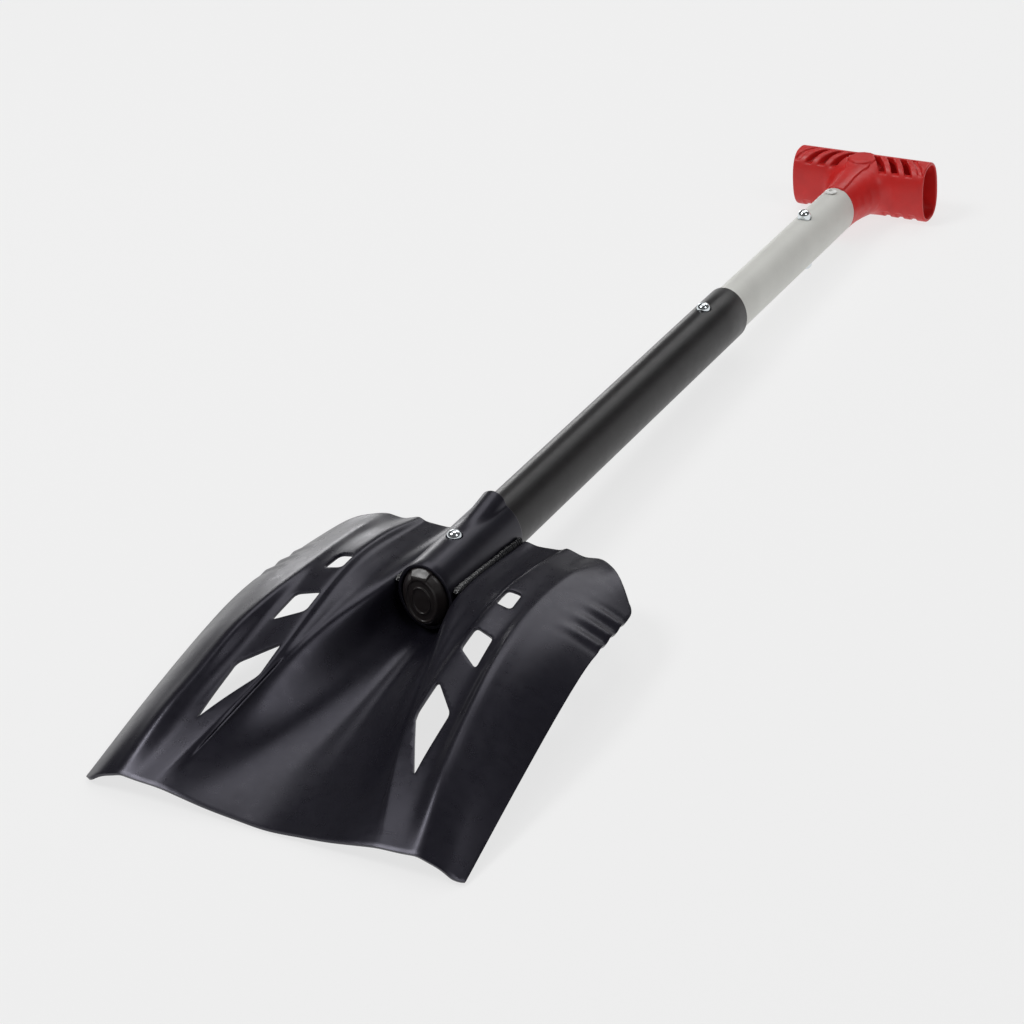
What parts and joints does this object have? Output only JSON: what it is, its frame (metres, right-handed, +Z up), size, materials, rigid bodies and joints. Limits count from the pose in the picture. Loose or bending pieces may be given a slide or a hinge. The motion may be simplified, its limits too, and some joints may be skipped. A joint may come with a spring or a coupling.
{
  "type": "avalanche shovel",
  "caption": "Avalanche shovel with a ribbed, pierced sheet blade, a welded socket, an oval telescoping shaft with snap buttons and a hollow T grip.",
  "frame": {"origin": "centre of the shovel's footprint, on the surface it lies on, with the shaft extended and the scoop side down", "axes": "+X across the blade, +Y from the blade to the grip, +Z up, out of the blade's back"},
  "size_m": [0.2424, 0.8136, 0.0667],
  "materials": {
    "blade": "satin black anodised",
    "socket": "satin black anodised",
    "weld": "rippled, black anodised",
    "lower_shaft": "fine-grained matt black anodised",
    "upper_shaft": "matt silver grey anodised",
    "plug": "moulded, smooth black",
    "button": "polished zinc plate",
    "spring": "rolled spring steel",
    "grip": "moulded red nylon, satin",
    "rivet": "white lacquer",
    "mandrel": "snapped steel stub"
  },
  "bodies": {
    "blade_unit": {"blade": "blade", "socket_tube": "socket", "weld_bead_left": "weld", "weld_bead_right": "weld"},
    "lower_shaft_unit": {"lower_shaft": "lower_shaft", "lower_shaft_plug": "plug", "socket_button_spring": "spring"},
    "upper_shaft_unit": {"upper_shaft": "upper_shaft", "extended_button_spring": "spring", "stowed_button_spring": "spring", "grip": "grip", "grip_rivet_top": "rivet", "grip_rivet_bottom": "rivet", "rivet_mandrel_top": "mandrel", "rivet_mandrel_bottom": "mandrel"},
    "socket_button_unit": {"socket_button": "button"},
    "extended_button_top_unit": {"extended_button_top": "button"},
    "extended_button_bottom_unit": {"extended_button_bottom": "button"},
    "stowed_button_top_unit": {"stowed_button_top": "button"},
    "stowed_button_bottom_unit": {"stowed_button_bottom": "button"}
  },
  "joints": [
    {"name": "shaft_pull_out", "type": "slide", "parent": "blade_unit", "child": "lower_shaft_unit", "axis": [0, 0.9994, -0.0342], "range_m": [0, 0.15], "deforming": ["socket_button", "socket_button_spring"]},
    {"name": "shaft_telescope", "type": "slide", "parent": "lower_shaft_unit", "child": "upper_shaft_unit", "axis": [0, 0.9994, -0.0342], "range_m": [-0.1585, 0], "deforming": ["extended_button_top", "extended_button_bottom", "extended_button_spring", "stowed_button_top", "stowed_button_bottom", "stowed_button_spring"]},
    {"name": "socket_button_press", "type": "slide", "parent": "lower_shaft_unit", "child": "socket_button_unit", "axis": [0, -0.0342, -0.9994], "range_m": [0, 0.0055], "stiffness_N_per_m": 800},
    {"name": "extended_button_top_press", "type": "slide", "parent": "upper_shaft_unit", "child": "extended_button_top_unit", "axis": [0, -0.0342, -0.9994], "range_m": [0, 0.0055], "stiffness_N_per_m": 800},
    {"name": "extended_button_bottom_press", "type": "slide", "parent": "upper_shaft_unit", "child": "extended_button_bottom_unit", "axis": [0, 0.0342, 0.9994], "range_m": [0, 0.0055], "stiffness_N_per_m": 800},
    {"name": "stowed_button_top_press", "type": "slide", "parent": "upper_shaft_unit", "child": "stowed_button_top_unit", "axis": [0, -0.0342, -0.9994], "range_m": [0, 0.0055], "stiffness_N_per_m": 800},
    {"name": "stowed_button_bottom_press", "type": "slide", "parent": "upper_shaft_unit", "child": "stowed_button_bottom_unit", "axis": [0, 0.0342, 0.9994], "range_m": [0, 0.0055], "stiffness_N_per_m": 800}
  ]
}
